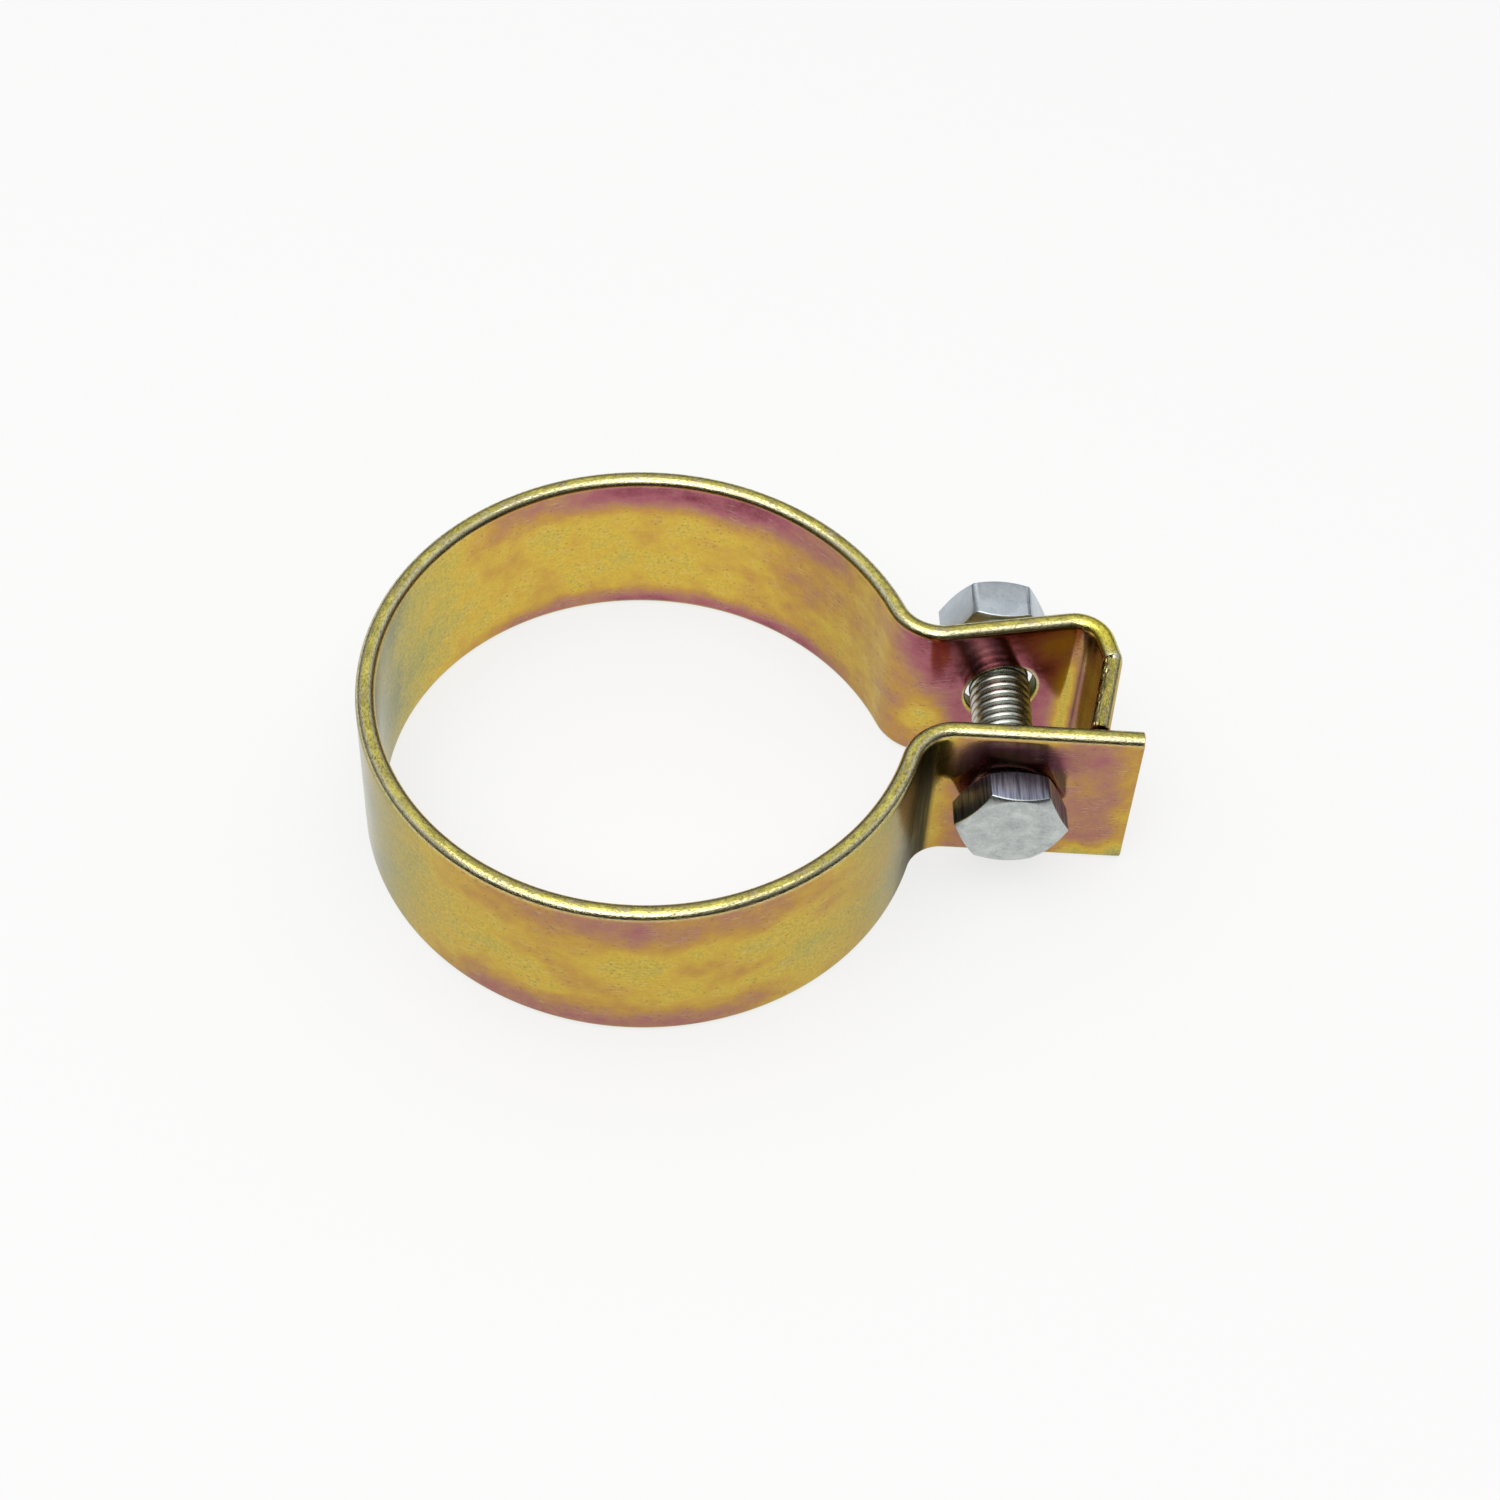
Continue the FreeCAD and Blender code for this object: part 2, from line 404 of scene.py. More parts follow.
class Route:
    """The strip's mid-line as stations: place, outward normal and length so far."""

    def __init__(self):
        self.places = []
        self.normals = []
        self.marks = {}

    def mark(self, name):
        self.marks[name] = len(self.places)

    def line(self, start, end, cells=None):
        """Stations from start up to end, which the next run begins with."""
        step = end - start
        normal = left_of(step / np.linalg.norm(step))
        cells = cells or max(1, round(np.linalg.norm(step) / line_step))
        for k in range(cells):
            self.places.append(start + step * k / cells)
            self.normals.append(normal)

    def arc(self, centre, radius, start, end):
        """Stations along an arc, from one angle about its centre up to another."""
        cells = max(4, round(radius * math.radians(abs(end - start)) / arc_step))
        side = -1 if end > start else 1
        for k in range(cells):
            out = unit(start + (end - start) * k / cells)
            self.places.append(centre + out * radius)
            self.normals.append(out * side)

    def ear(self, name, start, hole, end):
        """A straight ear, cut so that a square of cells surrounds its hole."""
        along = (end - start) / np.linalg.norm(end - start)
        self.line(start, hole - along * patch_half)
        self.mark(name)
        self.line(hole - along * patch_half, hole + along * patch_half, patch_cells)
        self.line(hole + along * patch_half, end)

    def finish(self, end):
        self.places.append(end)
        self.normals.append(self.normals[-1])
        self.places = np.array(self.places)
        self.normals = np.array(self.normals)
        steps = np.linalg.norm(np.diff(self.places, axis=0), axis=1)
        self.lengths = np.concatenate([[0], np.cumsum(steps)])


def root_centre(ear_y, splay):
    """Centre of the bend at an ear's root, which touches the seat's circle and the ear's mid-line."""
    ear_dir = unit(splay)
    beside_ear = np.array([bolt_x, ear_y]) + left_of(ear_dir) * root_r
    along = beside_ear @ ear_dir
    reach = ring_r + root_r
    step = along - math.sqrt(along ** 2 - beside_ear @ beside_ear + reach ** 2)
    return beside_ear - ear_dir * step


def corner_ends(before, corner, after, radius):
    """Centre and two ends of a bend that rounds a corner of the mid-line."""
    into = (corner - before) / np.linalg.norm(corner - before)
    out = (after - corner) / np.linalg.norm(after - corner)
    turn = bearing(out) - bearing(into)
    reach = radius * math.tan(math.radians(abs(turn) / 2))
    start = corner - into * reach
    centre = start - left_of(into) * radius
    first = bearing(into) + 90
    return start, centre, first, first + turn, corner + out * reach


def flange_points(near_hole, near_dir, far_hole, far_dir):
    """Corners of the mid-line past the far ear: at the flange's bend, at its crease and at its end."""
    flange_dir = unit(-90 - flange_lean)
    on_axis = np.array([bolt_x + flange_past_bolt, 0.0])
    crease = meet(on_axis, flange_dir, np.array([0, crease_y]), np.array([1.0, 0]))
    corner = meet(far_hole, far_dir, crease, unit(lead_lean - 90))
    near_face = near_hole + left_of(near_dir) * (half_t + flange_gap)
    outward = left_of(flange_dir) * half_t
    end = meet(on_axis + outward, flange_dir, near_face, near_dir) - outward
    return corner, crease, end


def strip_route():
    """The mid-line from the near ear's end, round the seat, to the flange's end."""
    route = Route()
    flip = np.array([1, -1])
    near_dir = unit(-near_splay)
    near_hole = np.array([bolt_x, -near_ear_y])
    near_end = near_hole + near_dir * near_ear_past_bolt / math.cos(math.radians(near_splay))
    near_root = root_centre(near_ear_y, near_splay) * flip
    near_start = near_root + left_of(near_dir) * root_r
    route.ear("near_hole", near_end, near_hole, near_start)
    near_angle = bearing(near_root)
    route.mark("near_root")
    route.arc(near_root, root_r, 90 - near_splay, near_angle + 180)
    far_root = root_centre(far_ear_y, far_splay)
    far_angle = bearing(far_root)
    route.mark("ring")
    route.arc(np.zeros(2), ring_r, near_angle, far_angle - 360)
    route.mark("far_root")
    route.arc(far_root, root_r, far_angle + 180, far_splay + 270)
    far_dir = unit(far_splay)
    far_hole = np.array([bolt_x, far_ear_y])
    corner, crease, flange_end = flange_points(near_hole, near_dir, far_hole, far_dir)
    start, centre, first, last, stop = corner_ends(far_hole, corner, crease, flange_bend_r)
    route.ear("far_hole", far_root - left_of(far_dir) * root_r, far_hole, start)
    route.mark("flange_bend")
    route.arc(centre, flange_bend_r, first, last)
    start, centre, first, last, after = corner_ends(corner, crease, flange_end, crease_r)
    route.line(stop, start)
    route.mark("crease")
    route.arc(centre, crease_r, first, last)
    route.line(after, flange_end, flange_cells)
    route.finish(flange_end)
    return route


def rolled_edge():
    """(depth, drop below the strip's edge) points over a rolled edge, between the two wide faces."""
    corner = []
    for tilt in np.linspace(math.pi / 2, crown_tilt, corner_cells + 1)[1:-1]:
        drop = crown_h + edge_round * (math.cos(crown_tilt) - math.cos(tilt))
        corner.append((half_t - edge_round * (1 - math.sin(tilt)), drop))
    depths = np.linspace(crown_half, -crown_half, rim_cells + 1)
    crown = [(depth, crown_h * (depth / crown_half) ** 2) for depth in depths]
    return corner + crown + [(-depth, drop) for depth, drop in reversed(corner)]


def section_loop():
    """The strip's cross-section as (depth, across) points, and the columns of its two wide faces."""
    flat = half_w - edge_drop
    wide = np.concatenate([
        np.linspace(-flat, -patch_half, side_cells, endpoint=False),
        np.linspace(-patch_half, patch_half, patch_cells, endpoint=False),
        np.linspace(patch_half, flat, side_cells + 1),
    ])
    edge = rolled_edge()
    loop = [(half_t, across) for across in wide]
    loop += [(depth, half_w - drop) for depth, drop in edge]
    inner_start = len(loop)
    loop += [(-half_t, across) for across in wide[::-1]]
    loop += [(-depth, drop - half_w) for depth, drop in edge]
    outer_patch = (side_cells, side_cells + patch_cells)
    inner_patch = (inner_start + side_cells, inner_start + side_cells + patch_cells)
    return np.array(loop), outer_patch, inner_patch


def lower_flange(route, coords):
    """Sets the flange's upper edge a little lower past the crease, and bites small pits out of it."""
    past_crease = coords[:, :, 0] - route.lengths[route.marks["crease"]]
    across = coords[:, :, 1]
    past = smooth(past_crease, *flange_step)
    bites = np.random.default_rng(bite_seed).random(across.shape) ** bite_rarity
    upper = smooth(across, patch_half, half_w - edge_drop)
    rim = smooth(across, half_w - edge_drop, half_w - crown_h)
    inner = smooth(-coords[:, :, 2], *bite_side)
    coords[:, :, 1] -= past * (flange_low * upper + flange_bite * rim * inner * bites)


def patch_border(first_station, columns, width):
    """Vertex numbers round one hole's square patch, starting at its first station and column."""
    low, high = columns
    last_station = first_station + patch_cells
    border = [first_station * width + j for j in range(low, high)]
    border += [k * width + high for k in range(first_station, last_station)]
    border += [last_station * width + j for j in range(high, low, -1)]
    border += [k * width + low for k in range(last_station, first_station, -1)]
    return border


def strip_mesh(route):
    """Points, faces and strip coordinates (along, across, depth) of the whole strip."""
    loop, outer_patch, inner_patch = section_loop()
    width = len(loop)
    stations = len(route.places)
    coords = np.zeros((stations, width, 3))
    coords[:, :, 0] = route.lengths[:, None]
    coords[:, :, 1] = loop[None, :, 1]
    coords[:, :, 2] = loop[None, :, 0]
    coords[0, :, 0] += end_break
    coords[-1, :, 0] -= end_break
    lower_flange(route, coords)
    coords = list(coords.reshape(-1, 3))
    holes = [route.marks["near_hole"], route.marks["far_hole"]]
    faces = []
    for k in range(stations - 1):
        in_hole = any(first <= k < first + patch_cells for first in holes)
        for j in range(width):
            if in_hole and (outer_patch[0] <= j < outer_patch[1] or inner_patch[0] <= j < inner_patch[1]):
                continue
            a = k * width + j
            b = k * width + (j + 1) % width
            faces.append((a, b, b + width, a + width))
    for first in holes:
        add_hole(coords, faces, route, first, outer_patch, inner_patch, width)
    add_cap(coords, faces, 0, width, 0.0)
    add_cap(coords, faces, (stations - 1) * width, width, route.lengths[-1])
    return np.array(coords), faces


def add_cap(coords, faces, first, width, end):
    """Closes one end of the strip, whose last ring of points starts at first, with a broken edge."""
    cap_start = len(coords)
    for j in range(width):
        across, depth = coords[first + j][1:]
        shrunk = (across * (1 - end_break / half_w), depth * (1 - end_break / half_t))
        coords.append(np.array([end, *shrunk]))
    for j in range(width):
        n = (j + 1) % width
        faces.append((first + j, first + n, cap_start + n, cap_start + j))
    faces.append(tuple(range(cap_start, cap_start + width)))


def add_hole(coords, faces, route, first, outer_patch, inner_patch, width):
    """Fills one square patch on both faces with rings of cells down to the hole and through it."""
    middle = route.lengths[first] + patch_half
    outer = patch_border(first, outer_patch, width)
    inner = patch_border(first, inner_patch, width)
    # the inner face's columns run the other way, so its border is turned round to face the outer one
    by_place = {tuple(np.round(coords[i][:2], 3)): i for i in inner}
    inner = [by_place[tuple(np.round(coords[i][:2], 3))] for i in outer]
    square = np.array([coords[i][:2] - (middle, 0) for i in outer])
    circle = square / np.linalg.norm(square, axis=1)[:, None]
    rim = hole_r + hole_round
    rows = [(square + (circle * rim - square) * share, half_t) for share in hole_shares]
    for angle in hole_angles:
        out = unit(angle)
        rows.append((circle * (rim - hole_round * out[1]), half_t - hole_round * (1 - out[0])))
    rows += [(flat, -depth) for flat, depth in reversed(rows)]
    rings = [outer]
    for flat, depth in rows:
        rings.append(list(range(len(coords), len(coords) + len(flat))))
        coords.extend(np.array([middle + a, across, depth]) for a, across in flat)
    rings.append(inner)
    count = len(outer)
    for before, after in zip(rings, rings[1:]):
        for i in range(count):
            n = (i + 1) % count
            faces.append((before[i], before[n], after[n], after[i]))


def bend_strip(route, coords):
    """Points in the frame from strip coordinates: the mid-line, then out along its normal."""
    along = coords[:, 0]
    points = np.zeros((len(coords), 3))
    for axis in (0, 1):
        mid = np.interp(along, route.lengths, route.places[:, axis])
        out = np.interp(along, route.lengths, route.normals[:, axis])
        points[:, axis] = mid + out * coords[:, 2]
    points[:, 2] = coords[:, 1]
    return points


def new_mesh(name, points, faces):
    """A smooth-shaded mesh object from points in millimetres."""
    mesh = bpy.data.meshes.new(name)
    mesh.from_pydata([tuple(p) for p in np.asarray(points) / MM], [], faces)
    work = bmesh.new()
    work.from_mesh(mesh)
    bmesh.ops.recalc_face_normals(work, faces=work.faces)
    work.to_mesh(mesh)
    work.free()
    mesh.shade_smooth()
    obj = bpy.data.objects.new(name, mesh)
    bpy.context.scene.collection.objects.link(obj)
    return obj


def add_values(obj, name, values):
    """Stores one number for each point of a mesh, for its material to read."""
    attribute = obj.data.attributes.new(name, "FLOAT", "POINT")
    attribute.data.foreach_set("value", np.asarray(values, dtype=np.float32))


def add_vectors(obj, name, values):
    """Stores one vector for each point of a mesh, for its material to read."""
    attribute = obj.data.attributes.new(name, "FLOAT_VECTOR", "POINT")
    attribute.data.foreach_set("vector", np.asarray(values, dtype=np.float32).ravel())


def with_patches(stains, places, across, base=0.0):
    """A base value with patches added to it: stains, a painted reflection, painted shade and greying."""
    total = base
    for amount, place, bounds, across_bounds in stains:
        total = total + amount * window(places[place], bounds) * window(across, across_bounds)
    return total


def strip_places(lengths, along):
    """Lengths along the strip from each place that a stain is counted from, and the turn round the seat."""
    places = {name: along - start for name, start in lengths.items()}
    places["near_end"] = along
    places["near_hole"] = places["near_hole"] - patch_half
    places["far_hole"] = places["far_hole"] - patch_half
    first_turn = -bearing(root_centre(near_ear_y, near_splay))
    places["turn"] = first_turn - np.degrees(places["ring"] / ring_r)
    return places


def rim_share(places, across):
    """1 on the strip's edges and its holes' rims, 0 on its faces."""
    rim = smooth(np.abs(across), half_w - edge_drop, half_w - crown_h)
    edge = hole_r + hole_round
    for hole in ("near_hole", "far_hole"):
        reach = np.hypot(places[hole], across)
        rim = np.maximum(rim, smooth(reach, edge + rim_fade, edge - rim_fade))
    return rim


def film_thickness(lengths, places, across, outside, rim):
    """Thickness of the colour film on the seat, then the ears, the flange and the rims over it."""
    ring_outside = with_patches(ring_outside_stains, places, across, ring_film)
    ring_inside = with_patches(ring_inside_stains, places, across, ring_film)
    near_outside = with_patches(near_ear_stains_and_reflection, places, across, near_ear_film)
    far_inside = with_patches(far_ear_stains, places, across, far_ear_film)
    near_ear_fade = (lengths["ring"] + near_ear_start, lengths["near_root"] + near_ear_full)
    layers = (
        (np.where(outside, near_outside, near_ear_inside_film), smooth(places["near_end"], *near_ear_fade)),
        (np.where(outside, far_ear_outside_film, far_inside), smooth(places["far_root"], *far_ear_fade)),
        (flange_film, smooth(places["flange_bend"], *flange_fade)),
        (rim_film, rim),
    )
    film = np.where(outside, ring_outside, ring_inside)
    for layer, share in layers:
        film = film + (layer - film) * share
    return film


def strip_values(route, coords):
    """What the plating reads at each point of the strip, by the names of its attributes."""
    along, across, depth = coords.T
    outside = depth > 0
    lengths = {name: route.lengths[k] for name, k in route.marks.items()}
    places = strip_places(lengths, along)
    rim = rim_share(places, across)
    painted_shade = np.where(outside, with_patches(outside_painted_shade, places, across), with_patches(inside_painted_shade, places, across))
    painted_shade = np.minimum(painted_shade, 1) * (1 - rim)
    # the far hole's wall gets painted shade
    in_hole = np.hypot(places["far_hole"], across) < hole_r + hole_round / 2
    grey_and_painted_shade = np.where(outside, with_patches(outside_grey_and_shade, places, across), with_patches(inside_grey_and_shade, places, across))
    return {
        "film": film_thickness(lengths, places, across, outside, rim),
        "rim": rim,
        "rough_edge": smooth(places["crease"], 0, crease_r) * rim,
        "painted_shade": np.maximum(painted_shade, far_hole_painted_shade * in_hole),
        "grey_and_painted_shade": grey_and_painted_shade * (1 - rim),
        "yellow": window(places["flange_bend"], yellow_bend),
        # painted highlight on the rim at the crease
        "crease": window(places["crease"], crease_highlight_bounds) * rim,
    }


def make_strip():
    """The whole strip in one closed mesh, with the values that its plating reads."""
    route = strip_route()
    coords, faces = strip_mesh(route)
    obj = new_mesh("plated_band", bend_strip(route, coords), faces)
    obj.data.set_sharp_from_angle(angle=math.radians(strip_sharp_angle))
    add_vectors(obj, "strip", coords)
    for name, values in strip_values(route, coords).items():
        add_values(obj, name, values)
    return obj


def thread_radius(phase):
    """Radius of the outer thread; phase is the part of a pitch from the crest, -0.5 to 0.5."""
    sharp = sharp_crest_r - np.abs(phase) * pitch * flank_slope
    crest = thread_r - crest_curve * phase ** 2
    return np.clip(np.minimum(sharp, crest), thread_root_r, thread_r)


def nut_radius(phase):
    """Radius of the nut's thread, which runs on the bolt's with a little room."""
    sharp = sharp_crest_r + nut_flank_room - np.abs(phase) * pitch * flank_slope
    return np.clip(sharp, nut_minor_r, nut_major_r)


def crest_y(angle):
    """Where a right-hand thread's crest lies at an angle about the bolt, if it passes y = 0 at angle 0."""
    return -pitch * (angle / 360)


def column_angles():
    """Angles of the columns round the bolt's axis, with the hexagon's corners among them."""
    count = 6 * hex_columns
    return [hex_turn + 360 * k / count for k in range(count)]


def ring_points(radii, heights):
    """One ring of points round the bolt's axis, from a radius and a y for each column."""
    ring = []
    for angle, radius, y in zip(column_angles(), radii, heights):
        out = unit(angle) * radius
        ring.append((bolt_x + out[0], y, out[1]))
    return ring


def even_ring(radius, y):
    """One round ring of points at one y."""
    count = 6 * hex_columns
    return ring_points([radius] * count, [y] * count)


def hexagon_radii():
    """Distance from the axis to the hexagon's side, at each column."""
    flats = [(angle - hex_turn) % 60 - 30 for angle in column_angles()]
    return [af / 2 / math.cos(math.radians(flat)) for flat in flats]


def chamfer_ring(face_y, inward, face_r):
    """Where the cone of a chamfer cuts the hexagon's sides; inward is +1 or -1 along y."""
    radii = hexagon_radii()
    return ring_points(radii, [face_y + inward * (r - face_r) * chamfer_slope for r in radii])


class Turned:
    """A closed form round the bolt's axis, built ring by ring."""

    def __init__(self):
        self.points = []
        self.faces = []
        self.sharp = {}
        self.last = None

    def ring(self, points, bevelled=False):
        """Joins a ring of points to the last one, and marks it for bevelling if asked."""
        first = len(self.points)
        self.points += points
        new = list(range(first, first + len(points)))
        if self.last:
            for i in range(len(new)):
                n = (i + 1) % len(new)
                self.faces.append((self.last[i], self.last[n], new[n], new[i]))
        if bevelled:
            for i in range(len(new)):
                self.sharp[frozenset((new[i], new[(i + 1) % len(new)]))] = edge_break
        self.last = new

    def corners(self, before, width):
        """Marks the six corner lines between two rings for bevelling."""
        for k in range(0, len(self.last), hex_columns):
            self.sharp[frozenset((before[k], self.last[k]))] = width

    def cap(self, y):
        """Closes the last ring with a fan of faces."""
        self.points.append((bolt_x, y, 0.0))
        middle = len(self.points) - 1
        for i in range(len(self.last)):
            self.faces.append((self.last[i], self.last[(i + 1) % len(self.last)], middle))

    def thread(self, start_y, end_y, radius_at, limit):
        """Rows along the helix from the last ring to the next; limit bounds the radius near the ends."""
        angles = column_angles()
        count = len(angles)
        low = math.floor(start_y / pitch) - 1
        high = math.ceil(end_y / pitch) + 2
        rows = [(turn, row) for turn in range(low, high) for row in thread_rows]
        grid = []
        for turn, row in rows:
            line = []
            for angle in angles:
                y = crest_y(angle) + pitch * (turn + row)
                y = min(max(y, start_y), end_y)
                radius = limit(radius_at(row), y)
                out = unit(angle) * radius
                line.append(len(self.points))
                self.points.append((bolt_x + out[0], y, out[1]))
            grid.append(line)
        step = len(thread_rows)
        for r in range(len(grid) - 1):
            for i in range(count - 1):
                self.faces.append((grid[r][i], grid[r][i + 1], grid[r + 1][i + 1], grid[r + 1][i]))
            # past the last column the helix has moved one pitch back
            if r >= step:
                a, b = grid[r - step][0], grid[r - step + 1][0]
                self.faces.append((grid[r][-1], a, b, grid[r + 1][-1]))
        self.last = None

    def build(self, name):
        obj = new_mesh(name, self.points, self.faces)
        tidy_turned(obj, self.sharp)
        return obj


def tidy_turned(obj, sharp):
    """Welds the rings together, bevels the marked edges and drops faces without area."""
    work = bmesh.new()
    work.from_mesh(obj.data)
    work.verts.ensure_lookup_table()
    weight = work.edges.layers.float.new("bevel_weight_edge")
    for edge in work.edges:
        width = sharp.get(frozenset(v.index for v in edge.verts))
        if width:
            edge[weight] = width / nut_corner_break
    bmesh.ops.remove_doubles(work, verts=work.verts, dist=weld_m)
    bmesh.ops.dissolve_degenerate(work, edges=work.edges, dist=weld_m)
    loose = [v for v in work.verts if not v.link_faces]
    bmesh.ops.delete(work, geom=loose, context="VERTS")
    bmesh.ops.recalc_face_normals(work, faces=work.faces)
    work.to_mesh(obj.data)
    work.free()
    bevel = obj.modifiers.new("edge_break", "BEVEL")
    bevel.limit_method = "WEIGHT"
    bevel.width = nut_corner_break / MM
    bevel.segments = bevel_cells
    graph = bpy.context.evaluated_depsgraph_get()
    final = bpy.data.meshes.new_from_object(obj.evaluated_get(graph))
    obj.modifiers.clear()
    obj.data = final
    final.shade_smooth()
    final.set_sharp_from_angle(angle=math.radians(turned_sharp_angle))


def make_bolt():
    """Head, washer face and threaded shank in one closed mesh."""
    front = bolt_low.y
    seat = front + head_h
    tip = bolt_high.y
    back = head_back
    face_r = head_share * af / 2
    form = Turned()
    form.ring(even_ring(face_ring_shares[0] * face_r, front))
    inner = form.last
    form.ring(even_ring(face_ring_shares[1] * face_r, front))
    form.ring(even_ring(face_r, front), bevelled=True)
    form.ring(chamfer_ring(front, 1, face_r), bevelled=True)
    before = form.last
    under_r = under_share * af / 2
    form.ring(chamfer_ring(back, -1, under_r), bevelled=True)
    form.corners(before, edge_break)
    form.ring(even_ring(under_r, back))
    form.ring(even_ring(washer_r, back))
    form.ring(even_ring(washer_r, seat), bevelled=True)
    form.ring(even_ring(neck_r, seat))
    outer_last = form.last
    form.last = inner
    form.cap(front)
    form.last = outer_last

    def limit(radius, y):
        return min(radius, neck_r + (y - seat), tip_r + (tip - y))

    form.thread(seat, tip, thread_radius, limit)
    form.last = None
    form.ring(even_ring(tip_r, tip))
    form.cap(tip)
    bolt = form.build("threaded_bolt")
    add_thread_values(bolt, seat, tip)
    return bolt


def add_thread_values(bolt, seat, tip):
    """Stores where the bolt's thread is and where its roots are, for the zinc to read."""
    x, y, z = np.array([v.co[:] for v in bolt.data.vertices]).T * MM
    depth = thread_r - np.hypot(x - bolt_x, z)
    on_thread = smooth(y, seat, seat + thread_fade) * smooth(tip - y, *tip_fade)
    add_values(bolt, "thread", on_thread)
    add_values(bolt, "root", on_thread * smooth(depth, *root_fade))


def make_nut():
    """Nut with chamfered faces and its inner thread, in one closed mesh."""
    front = nut_low.y
    back = nut_high.y
    face_r = nut_share * af / 2
    form = Turned()
    form.ring(even_ring(nut_mouth_r, front))
    form.ring(even_ring(face_r, front), bevelled=True)
    form.ring(chamfer_ring(front, 1, face_r), bevelled=True)
    before = form.last
    form.ring(chamfer_ring(back, -1, face_r), bevelled=True)
    form.corners(before, nut_corner_break)
    form.ring(even_ring(face_r, back), bevelled=True)
    form.ring(even_ring(nut_mouth_r, back))

    def limit(radius, y):
        return max(radius, nut_mouth_r - (y - front), nut_mouth_r - (back - y))

    form.thread(front, back, nut_radius, limit)
    return form.build("threaded_nut")


class Nodes:
    """A node tree, built by short calls."""

    def __init__(self, tree):
        self.tree = tree

    def link(self, source, socket):
        self.tree.links.new(source, socket)

    def feed(self, socket, value):
        if isinstance(value, bpy.types.NodeSocket):
            self.link(value, socket)
        else:
            socket.default_value = value

    def attribute(self, name, vector=False):
        node = self.tree.nodes.new("ShaderNodeAttribute")
        node.attribute_name = name
        return node.outputs["Vector" if vector else "Fac"]

    def coordinates(self, kind):
        return self.tree.nodes.new("ShaderNodeTexCoord").outputs[kind]

    def part(self, vector, axis):
        node = self.tree.nodes.new("ShaderNodeSeparateXYZ")
        self.link(vector, node.inputs["Vector"])
        return node.outputs[axis]

    def across_bolt(self):
        """1 on faces that lie along the bolt's axis, 0 on faces square to it."""
        facing = self.tree.nodes.new("ShaderNodeNewGeometry").outputs["True Normal"]
        return self.spread(self.math("ABSOLUTE", self.part(facing, "Y")), *facing_fade)

    def mapped(self, vector, scale, turn=(0, 0, 0), shift=(0, 0, 0)):
        node = self.tree.nodes.new("ShaderNodeMapping")
        node.inputs["Scale"].default_value = scale
        node.inputs["Rotation"].default_value = [math.radians(a) for a in turn]
        node.inputs["Location"].default_value = shift
        self.link(vector, node.inputs["Vector"])
        return node.outputs["Vector"]

    def noise(self, vector, detail=3.0, rough=0.5, warp=0.0):
        node = self.tree.nodes.new("ShaderNodeTexNoise")
        node.inputs["Scale"].default_value = 1.0
        node.inputs["Detail"].default_value = detail
        node.inputs["Roughness"].default_value = rough
        node.inputs["Distortion"].default_value = warp
        self.link(vector, node.inputs["Vector"])
        return node.outputs["Fac"]

    def cells(self, vector):
        node = self.tree.nodes.new("ShaderNodeTexVoronoi")
        node.inputs["Scale"].default_value = 1.0
        self.link(vector, node.inputs["Vector"])
        return node.outputs["Distance"]

    def math(self, operation, a, b=0.0, c=0.0):
        node = self.tree.nodes.new("ShaderNodeMath")
        node.operation = operation
        for socket, value in zip(node.inputs, (a, b, c)):
            self.feed(socket, value)
        return node.outputs[0]

    def spread(self, value, low, high, out_low=0.0, out_high=1.0):
        """A value from low to high turned into one from out_low to out_high, and held at both."""
        node = self.tree.nodes.new("ShaderNodeMapRange")
        node.inputs["From Min"].default_value = low
        node.inputs["From Max"].default_value = high
        node.inputs["To Min"].default_value = out_low
        node.inputs["To Max"].default_value = out_high
        self.link(value, node.inputs["Value"])
        return node.outputs["Result"]

    def ramp(self, value, stops):
        """Colour at a value, between stops of place and colour."""
        node = self.tree.nodes.new("ShaderNodeValToRGB")
        ramp = node.color_ramp
        while len(ramp.elements) < len(stops):
            ramp.elements.new(0.5)
        for element, (place, colour) in zip(ramp.elements, stops):
            element.position = place
            element.color = colour
        self.link(value, node.inputs["Fac"])
        return node.outputs["Color"]

    def mix(self, factor, a, b, mode="MIX"):
        node = self.tree.nodes.new("ShaderNodeMix")
        node.data_type = "RGBA"
        node.blend_type = mode
        self.feed(node.inputs["Factor"], factor)
        self.feed(node.inputs["A"], a)
        self.feed(node.inputs["B"], b)
        return node.outputs["Result"]


class Finish(Nodes):
    """A new material with its nodes."""

    def __init__(self, name):
        self.material = bpy.data.materials.new(name)
        self.material.use_nodes = True
        super().__init__(self.material.node_tree)
        self.shader = self.tree.nodes["Principled BSDF"]

    def bump(self, height, strength, distance):
        node = self.tree.nodes.new("ShaderNodeBump")
        node.inputs["Strength"].default_value = strength
        node.inputs["Distance"].default_value = distance / MM
        self.link(height, node.inputs["Height"])
        self.link(node.outputs["Normal"], self.shader.inputs["Normal"])


def film_tone(f, strip, mottle, grain):
    """Colour of the film on the strip's faces, its thickness made uneven."""
    broad = f.noise(f.mapped(strip, broad_scale), detail=2, rough=0.5, warp=0.2)
    film = f.math("MULTIPLY_ADD", broad, broad_weight, f.attribute("film"))
    film = f.math("MULTIPLY_ADD", mottle, mottle_weight, film)
    film = f.math("MULTIPLY_ADD", grain, grain_weight, film)
    film = f.math("SUBTRACT", film, (broad_weight + mottle_weight + grain_weight) / 2)
    return f.ramp(film, film_colours)


